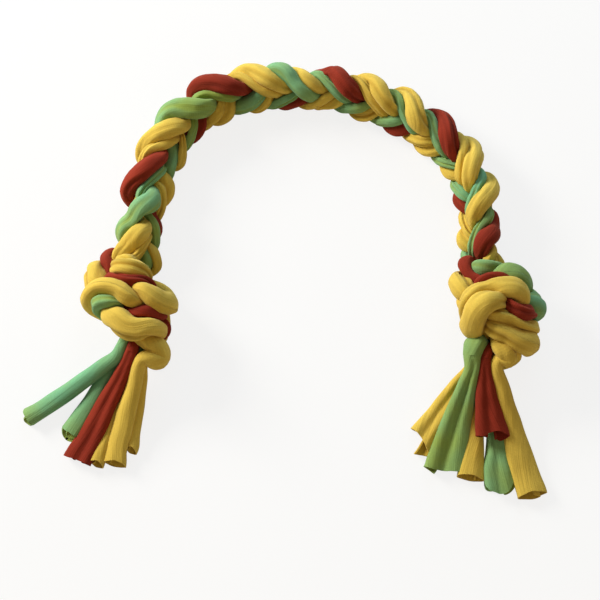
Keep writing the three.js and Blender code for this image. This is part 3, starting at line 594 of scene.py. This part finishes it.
def tube(strip, first, last, name, root=None):
    """The closed piece of a strip between two of its steps, with its cloth drawn in at the creases.

    root is the step where a tail goes on from it, and where its cloth is smooth.
    """
    sizes = bpy.context.scene.rope_toy_sizes
    at = strip.at[first:last + 1]
    depth = creases_of(at, list(STRIPS).index(strip.name))
    if root is not None:
        depth *= np.minimum(1, np.abs(at - strip.at[root]) / ROOT_FADE)[:, None]
    out = (
        np.cos(ROUND)[None, :, None] * strip.sides[first:last + 1, None]
        + np.sin(ROUND)[None, :, None] * strip.aboves[first:last + 1, None]
    )
    middles = strip.middles[first:last + 1, None]
    reach = strip.reach[first:last + 1]
    bare = middles + out * reach[..., None]
    grown = sizes.press - sizes.crease_depth * depth + sizes.wrinkle_height * wrinkles_at(bare)
    ring = middles + out * (reach + grown)[..., None]
    verts = list(ring.reshape(-1, 3))
    girth = reach.mean(1)[:, None] * ROUND[None]
    uvs = list(np.stack([girth, np.repeat(at[:, None], AROUND, 1)], 2).reshape(-1, 2) / MM)
    # Shade is painted into the creases, darker the deeper they are
    creases = list(CREASE_PAINTED_SHADE * depth.ravel())
    faces = bands(len(at), AROUND)
    for row in (0, len(at) - 1):
        pole = len(verts)
        verts.append(ring[row].mean(0))
        uvs.append((0, at[row] / MM))
        creases.append(0)
        faces += [(pole, row * AROUND + c, row * AROUND + (c + 1) % AROUND) for c in range(AROUND)]
    return cloth_piece(name, verts, faces, uvs, creases)


# Tails


class Tail(NamedTuple):
    """How the loose end of a strip lies."""

    curl: str  # "roll", one edge inside the other, or "scroll", both edges rolled under
    flat_width: float  # of the cloth, before it curled
    spread: float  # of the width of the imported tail, at its tip
    groove: float = 0.0  # of its height, how deep it sinks along its middle
    slant: float = 0.0  # of its length, how much shorter one edge is cut, or where negative the other
    ragged: float = 0.0008  # how unevenly it is cut
    turn: float = 0.0  # in degrees, how far a rolled tail is turned on its own length
    lip: float = 0.004  # how much further the lower side reaches than the upper one
    rounding: float = 0.0  # how much further the middle reaches than the sides


TAILS = {
    "yellow_strip_1_left": Tail("roll", 0.036, 1.12, turn=15, slant=-0.02),
    "yellow_strip_2_left": Tail("roll", 0.030, 1.1, turn=-20),
    "green_strip_1_left": Tail("roll", 0.034, 0.9, slant=0.03, turn=40, lip=0.002, rounding=0.003),
    "yellow_strip_3_left": Tail("roll", 0.030, 1.1),
    "red_strip_left": Tail("scroll", 0.036, 1.15, groove=0.12, ragged=0.0016, lip=0.001),
    "green_strip_2_left": Tail("roll", 0.034, 1.1, slant=-0.05, rounding=0.004),
    "yellow_strip_1_right": Tail("roll", 0.040, 1.15, slant=0.02, turn=-30),
    "yellow_strip_2_right": Tail("roll", 0.036, 1.2, turn=20),
    "green_strip_1_right": Tail("scroll", 0.048, 1.47, groove=0.8, slant=-0.12, lip=0.001),
    "yellow_strip_3_right": Tail("scroll", 0.032, 1.5, groove=0.3, slant=0.22),
    "red_strip_right": Tail("scroll", 0.040, 1.25, groove=0.2, slant=0.03, ragged=0.004),
    "green_strip_2_right": Tail("scroll", 0.036, 1.3, groove=0.1, slant=0.03, lip=0.0005, rounding=0.010),
}
ACROSS = 44  # points across the cloth of a tail
TAIL_SEED = 5.3  # from one tail's place in the noise to the next
END_ASPECT = 2  # the width of a tail over its height, where it is cut
ROLLED_TURN = 1.5  # turns of a rolled tail
OVERLAP_LEAN = 0.1  # turns, how far its overlap lies from the middle of its underside
INNER_EDGE = 0.35  # of the way out from the middle, where the edge inside it lies
INNER_TURN = 0.6  # turns, after which the cloth is all the way out
SCROLLED_TURN = 0.8  # turns of each edge of a scrolled tail
CURL_WAY = 0.8  # of a circle's, the way along such an edge, which curls tighter and tighter
TIGHTER_FROM = 1.9  # radians round the curl
TIGHTER_BY = 0.5  # of its size, at the edge
GROOVE_UNTIL = 1.2  # radians round the curl
GROOVE_WIDTH = 0.24  # of half the tail's width
OUTLINE_POINTS = 73
GROOVE_START = 0.3  # of a tail's length, where its groove is fully there
TAIL_WAVE = 0.0005  # how far a tail's cloth waves
TAIL_WAVE_LENGTH = 0.014
WAVES_ACROSS = 2.2  # in half the cloth's width
WAVE_START = 0.25  # of a tail's length, where the waves are fully there
INNER_SIDE_PAINTED_SHADE = 0.35  # painted shade: how much of the shade colour the inner side of the cloth takes, inside its curl


def roll(aspect, turn):
    """How the cloth of a rolled tail lies in an outline that reaches 1 up and down and aspect aside.

    Gives the angle of each point across the cloth, and its share of the way out to the outline.
    """
    share = np.linspace(0, 1, ACROSS)
    angle = -FULL_TURN / 4 + turn + FULL_TURN * (ROLLED_TURN * share - (ROLLED_TURN - 1) / 2 - OVERLAP_LEAN)
    outward = np.clip(ROLLED_TURN * share / INNER_TURN, 0, 1)
    far = INNER_EDGE + (1 - INNER_EDGE) * outward ** 2 * (3 - 2 * outward)
    x, y = aspect * np.cos(angle), np.sin(angle)
    return np.unwrap(np.arctan2(y, x)), far


def scroll(aspect, groove):
    """How the cloth of a tail with both edges rolled under lies, in the same terms."""
    radius = min(1.0, 0.5 * aspect)
    count = ACROSS // 2
    flat = aspect - radius
    curled = FULL_TURN * SCROLLED_TURN * radius * CURL_WAY
    share = np.linspace(0, 1, count + 1)[1:] - 0.5 / count
    way = share * (flat + curled)
    on_top = way < flat
    angle = np.where(on_top, 0, (way - flat) / curled * FULL_TURN * SCROLLED_TURN)
    inward = np.clip((angle - TIGHTER_FROM) / (FULL_TURN * SCROLLED_TURN - TIGHTER_FROM), 0, 1)
    size = 1 - TIGHTER_BY * inward
    x = np.where(on_top, way, flat + radius * size * np.sin(angle))
    y = np.where(on_top, 1, size * np.cos(angle))
    sunk = groove * np.exp(-0.5 * (x / (GROOVE_WIDTH * aspect)) ** 2)
    y = y - np.where(angle < GROOVE_UNTIL, sunk, 0)
    x, y = np.concatenate([-x[::-1], x]), np.concatenate([y[::-1], y])
    bend = np.linspace(0, FULL_TURN, OUTLINE_POINTS)
    edge = np.stack([np.sign(np.cos(bend)) * flat + radius * np.cos(bend), np.sin(bend)], 1)
    edge_angle = np.arctan2(edge[:, 1], edge[:, 0]) % FULL_TURN
    order = np.argsort(edge_angle)
    angle = np.arctan2(y, x)
    outline = np.interp(
        angle % FULL_TURN, edge_angle[order], np.linalg.norm(edge, axis=1)[order], period=FULL_TURN,
    )
    return angle, np.minimum(1, np.hypot(x, y) / outline)


def curl_of(tail, aspect, grown):
    """How the cloth of a tail lies in an outline of this aspect, where its groove has grown so far."""
    if tail.curl == "roll":
        return roll(aspect, math.radians(tail.turn))
    return scroll(aspect, tail.groove * grown)


def cut_off(tail, length, seed):
    """How much shorter than its whole length a tail is cut, at each point across its cloth."""
    across = np.linspace(-1, 1, ACROSS)
    slanted = tail.slant * length * 0.5 * (1 + np.sign(tail.slant) * across) * np.sign(tail.slant)
    # The scissors leave long jags and short ones
    jags = np.array([
        0.5 + 0.5 * noise.noise(Vector((2.1 * a, seed, 0))) + 0.3 * noise.noise(Vector((7 * a, seed, 3)))
        for a in across
    ])
    angle, _ = curl_of(tail, END_ASPECT, 0)
    height = np.abs(np.sin(angle)) / np.hypot(np.cos(angle) / END_ASPECT, np.sin(angle))
    return slanted + (
        tail.ragged * jags + tail.lip * (0.5 + 0.5 * np.sin(angle)) + tail.rounding * (1 - height)
    )


def tail_cloth(strip, side, tail, name):
    """A curled strip of cloth from a knot to its cut end, as a thin closed sheet. Gives it and its length."""
    sizes = bpy.context.scene.rope_toy_sizes
    left_root, _, _, right_root = cuts(strip)
    root, tip = (left_root, 0) if side == "left" else (right_root, strip.count - 1)
    rows = abs(tip - root) + 1
    share = np.linspace(0, 1, rows)[:, None]
    length = abs(strip.at[tip] - strip.at[root])
    seed = TAIL_SEED * list(TAILS).index(f"{strip.name}_{side}")
    shorter = cut_off(tail, length, seed)[None]
    at = strip.at[root] + (strip.at[tip] - strip.at[root]) * share * (1 - shorter / length)

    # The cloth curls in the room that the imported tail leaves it, seen in the level frame. That one is
    # the mirror image of the strip's own, so an angle in it counts backwards there
    angle = np.empty((rows, ACROSS))
    far = np.empty((rows, ACROSS))
    for row in range(rows):
        here = at[row, ACROSS // 2]
        level = strip.between(strip.level_turns, here)
        sides = strip.room(np.full(4, here), FULL_TURN * np.arange(4) / 4 + level)
        aspect = max(1.0, (sides[0] + sides[2]) / (sides[1] + sides[3]))
        angle[row], far[row] = curl_of(tail, aspect, min(1, share[row, 0] / GROOVE_START))
    turns = strip.between(strip.level_turns, at)
    room = strip.room(at, turns - angle) + sizes.press - sizes.cloth_thickness / 2
    wide = 1 + (tail.spread - 1) * share
    x = far * room * np.cos(angle) * wide
    y = far * room * np.sin(angle)

    # Its two sides lie half its thickness to either side of that line, which waves a little
    across = np.linspace(-1, 1, ACROSS)
    waves = np.array([
        [noise.noise(Vector((s * length / TAIL_WAVE_LENGTH, WAVES_ACROSS * a, seed))) for a in across]
        for s in share[:, 0]
    ])
    waves *= TAIL_WAVE * np.minimum(1, share / WAVE_START)
    dx, dy = np.gradient(x, axis=1), np.gradient(y, axis=1)
    size = np.maximum(np.hypot(dx, dy), TINY)
    nx, ny = dy / size, -dx / size
    half = sizes.cloth_thickness / 2
    layers = []
    for sign in (1, -1) if tail.curl == "roll" else (-1, 1):
        px, py = x + (waves + sign * half) * nx, y + (waves + sign * half) * ny
        layers.append(
            strip.between(strip.middles, at) + px[..., None] * strip.between(strip.level_sides, at)
            + py[..., None] * strip.between(strip.level_aboves, at)
        )
    ring = np.concatenate([layers[0], layers[1][:, ::-1]], 1)
    girth = np.cumsum(np.hypot(dx, dy), 1)
    u = np.concatenate([girth, girth[:, ::-1]], 1)
    v = np.concatenate([at, at[:, ::-1]], 1)
    faces = bands(rows, 2 * ACROSS)
    for start in (0, (rows - 1) * 2 * ACROSS):
        faces += [
            (start + c, start + c + 1, start + 2 * ACROSS - 2 - c, start + 2 * ACROSS - 1 - c)
            for c in range(ACROSS - 1)
        ]
    # Shade is painted on the inner side of the cloth, inside the curl, and none on its outer side
    creases = np.zeros(ring.shape[:2])
    creases[:, ACROSS:] = INNER_SIDE_PAINTED_SHADE
    uvs = np.stack([u, v], 2).reshape(-1, 2) / MM
    piece = cloth_piece(name, ring.reshape(-1, 3), faces, uvs, creases.ravel())
    return piece, length


# Where the pieces of a strip meet


SEAM_DISTANCE = 0.030  # along the strip from a neck's hinge to the seam of two pieces
ROOT_DISTANCE = 0.006  # from a tail's hinge back into the knot, where the tail's cloth begins


def knot_centre(side):
    """The middle of a knot."""
    corners = [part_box(f"{strip}_{side}_knot") for strip in STRIPS]
    return sum(((low + high) / 2 for low, high in corners), Vector()) / len(corners)


def cuts(strip):
    """The steps of a strip where its pieces meet: left root, left seam, right seam, right root."""
    found = []
    for side, sign in (("left", 1), ("right", -1)):
        tail_hinge = JOINTS[f"{strip.name}_{side}_tail_bend"]["pos_m"]
        neck_hinge = JOINTS[f"{side}_neck_bend"]["pos_m"]
        found += [
            strip.step_near(tail_hinge, f"{side}_tail", f"{side}_knot")
            + sign * int(ROOT_DISTANCE / strip.step),
            strip.step_near(neck_hinge, f"{side}_knot", f"{side}_plait")
            + sign * int(SEAM_DISTANCE / strip.step),
        ]
    left_root, left_seam, right_root, right_seam = found
    return left_root, left_seam, right_seam, right_root


class OBJECT_OT_rope_toy_plait(bpy.types.Operator):
    """Adds the six strips of the plait between the two knots"""

    bl_idname = "object.rope_toy_plait"
    bl_label = "Add plait"

    def execute(self, context):
        for name in STRIPS:
            strip = strip_of(name)
            _, first, last, _ = cuts(strip)
            piece = tube(strip, first, last, f"{name}_plait_cloth")
            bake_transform(piece)
            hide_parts(f"{name}_left_plait", f"{name}_right_plait")
        return {"FINISHED"}


class OBJECT_OT_rope_toy_knots(bpy.types.Operator):
    """Adds the strips of the two knots and their necks"""

    bl_idname = "object.rope_toy_knots"
    bl_label = "Add knots"

    def execute(self, context):
        for side in ("left", "right"):
            hinge = Vector(JOINTS[f"{side}_neck_bend"]["pos_m"])
            along = hinge - knot_centre(side)
            along.z = 0
            along.normalize()
            for name in STRIPS:
                strip = strip_of(name)
                left_root, left_seam, right_seam, right_root = cuts(strip)
                if side == "left":
                    piece = tube(strip, left_root, left_seam, f"{name}_left_knot_cloth", root=left_root)
                else:
                    piece = tube(strip, right_seam, right_root, f"{name}_right_knot_cloth", root=right_root)
                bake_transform(piece)
                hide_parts(f"{name}_{side}_knot")
        return {"FINISHED"}


class OBJECT_OT_rope_toy_tails(bpy.types.Operator):
    """Adds the twelve tails of the strips"""

    bl_idname = "object.rope_toy_tails"
    bl_label = "Add tails"

    def execute(self, context):
        for side in ("left", "right"):
            for name in STRIPS:
                strip = strip_of(name)
                node = f"{name}_{side}_tail"
                tail = TAILS[f"{name}_{side}"]
                piece, length = tail_cloth(strip, side, tail, f"{node}_cloth")
                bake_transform(piece)
                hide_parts(node)
        return {"FINISHED"}


# Stage


FLOOR_SIZE = 6
FLOOR_DEPTH = 0.0002  # below the frame's floor, so that nothing lies in its plane
WHITE_SHARE = 0.82  # of the floor's look that is plain white to the camera
ROOM_LIGHT = "#FFF2DA"
ROOM_STRENGTH = 0.24
ROOM_SEEN = "#FCFCFB"  # by the camera
LAMPS = (
    # name, place, size, power and colour
    ("window", (-1.1, 0.75, 0.62), 0.5, 28.5, "#FFFBF2"),
    ("sky", (0.25, 1.3, 0.6), 0.8, 8, "#B4DCFF"),
    ("lamp_in_the_room", (0.3, -1.1, 0.9), 0.7, 2.5, "#FFE2B0"),
)
CAMERA_ELEVATION = math.radians(75.5)
CAMERA_DISTANCE = 0.95
CAMERA_AIM = Vector((0.0107, -0.0137, 0.008))
SENSOR_WIDTH = 36  # millimetres
VIEW_WIDTH = 0.3622  # of the scene, where the camera aims


def pale_floor(colour):
    """Smooth matt paper, pure white to the camera where no shadow falls."""
    material = bpy.data.materials.new("white_matt_paper")
    material.use_nodes = True
    tree = material.node_tree
    paper = tree.nodes["Principled BSDF"]
    paper.inputs["Base Color"].default_value = with_alpha(colour)
    paper.inputs["Roughness"].default_value = 0.9
    rays = add_node(tree, "ShaderNodeLightPath").outputs
    seen = add_node(
        tree, "ShaderNodeMath", {0: rays["Is Camera Ray"], 1: rays["Is Glossy Ray"]}, operation="MAXIMUM",
    )
    seen = add_node(
        tree, "ShaderNodeMath", {0: seen.outputs[0], 1: rays["Is Transmission Ray"]}, operation="MAXIMUM",
    )
    share = add_node(
        tree, "ShaderNodeMath", {0: seen.outputs[0]}, operation="MULTIPLY", inputs={1: WHITE_SHARE},
    )
    white = add_node(tree, "ShaderNodeEmission", inputs={"Color": (1, 1, 1, 1), "Strength": 1})
    mixed = add_node(
        tree, "ShaderNodeMixShader", {0: share.outputs[0], 1: paper.outputs[0], 2: white.outputs[0]},
    )
    tree.links.new(mixed.outputs[0], tree.nodes["Material Output"].inputs["Surface"])
    return material


def pale_room():
    """The light of a pale room, a little warm, which the camera sees as white."""
    world = bpy.data.worlds.new("pale_room")
    world.use_nodes = True
    tree = world.node_tree
    rays = add_node(tree, "ShaderNodeLightPath").outputs
    strength = add_node(
        tree, "ShaderNodeMath", {0: rays["Is Camera Ray"]}, operation="MULTIPLY_ADD",
        inputs={1: 1 - ROOM_STRENGTH, 2: ROOM_STRENGTH},
    )
    colour = add_node(
        tree, "ShaderNodeMix", {"Factor": rays["Is Camera Ray"]}, data_type="RGBA",
        inputs={"A": with_alpha(linear(ROOM_LIGHT)), "B": with_alpha(linear(ROOM_SEEN))},
    )
    background = tree.nodes["Background"]
    tree.links.new(colour.outputs["Result"], background.inputs["Color"])
    tree.links.new(strength.outputs[0], background.inputs["Strength"])
    return world


class OBJECT_OT_rope_toy_stage(bpy.types.Operator):
    """Adds the floor, the lights, the world and the camera"""

    bl_idname = "object.rope_toy_stage"
    bl_label = "Add stage"

    def execute(self, context):
        scene = context.scene
        bpy.ops.object.select_all(action="DESELECT")
        bpy.ops.mesh.primitive_plane_add(size=FLOOR_SIZE, location=(0, 0, -FLOOR_DEPTH))
        floor = context.object
        floor.name = "floor"
        floor.data.materials.append(pale_floor(scene.rope_toy_colours.floor))

        scene.world = pale_room()
        for name, place, size, power, colour in LAMPS:
            lamp = bpy.data.objects.new(name, bpy.data.lights.new(name, "AREA"))
            lamp.data.energy = power
            lamp.data.size = size
            lamp.data.color = linear(colour)
            lamp.location = place
            lamp.rotation_euler = (-Vector(place)).to_track_quat("-Z", "Y").to_euler()
            scene.collection.objects.link(lamp)

        camera = bpy.data.objects.new("camera", bpy.data.cameras.new("camera"))
        scene.collection.objects.link(camera)
        scene.camera = camera
        camera.location = CAMERA_AIM + CAMERA_DISTANCE * Vector(
            (0, -math.cos(CAMERA_ELEVATION), math.sin(CAMERA_ELEVATION))
        )
        camera.rotation_euler = Euler((math.pi / 2 - CAMERA_ELEVATION, 0, 0))
        camera.data.sensor_width = SENSOR_WIDTH
        camera.data.lens = SENSOR_WIDTH * CAMERA_DISTANCE / VIEW_WIDTH
        scene.view_settings.view_transform = "Standard"
        return {"FINISHED"}


class VIEW3D_PT_rope_toy(bpy.types.Panel):
    """Lists the operators and the sizes of the rope toy"""

    bl_label = "Rope toy"
    bl_idname = "VIEW3D_PT_rope_toy"
    bl_space_type = "VIEW_3D"
    bl_region_type = "UI"
    bl_category = "Rope toy"

    def draw(self, context):
        for group in (context.scene.rope_toy_sizes, context.scene.rope_toy_colours):
            for key in group.__annotations__:
                self.layout.prop(group, key)
        for operator in OPERATORS:
            self.layout.operator(operator.bl_idname)


OPERATORS = (
    OBJECT_OT_rope_toy_stage,
    OBJECT_OT_rope_toy_plait,
    OBJECT_OT_rope_toy_knots,
    OBJECT_OT_rope_toy_tails,
)
CLASSES = (RopeToySizes, RopeToyColours, *OPERATORS, VIEW3D_PT_rope_toy)


def register():
    """Adds the classes, and the sizes and colours of a scene."""
    for cls in CLASSES:
        bpy.utils.register_class(cls)
    bpy.types.Scene.rope_toy_sizes = bpy.props.PointerProperty(type=RopeToySizes)
    bpy.types.Scene.rope_toy_colours = bpy.props.PointerProperty(type=RopeToyColours)


def unregister():
    """Takes them away again."""
    del bpy.types.Scene.rope_toy_colours
    del bpy.types.Scene.rope_toy_sizes
    for cls in reversed(CLASSES):
        bpy.utils.unregister_class(cls)


def main():
    """Makes the stage and the toy."""
    register()
    bpy.ops.object.rope_toy_stage()
    bpy.ops.object.rope_toy_plait()
    bpy.ops.object.rope_toy_knots()
    bpy.ops.object.rope_toy_tails()


if __name__ == "__main__":
    main()
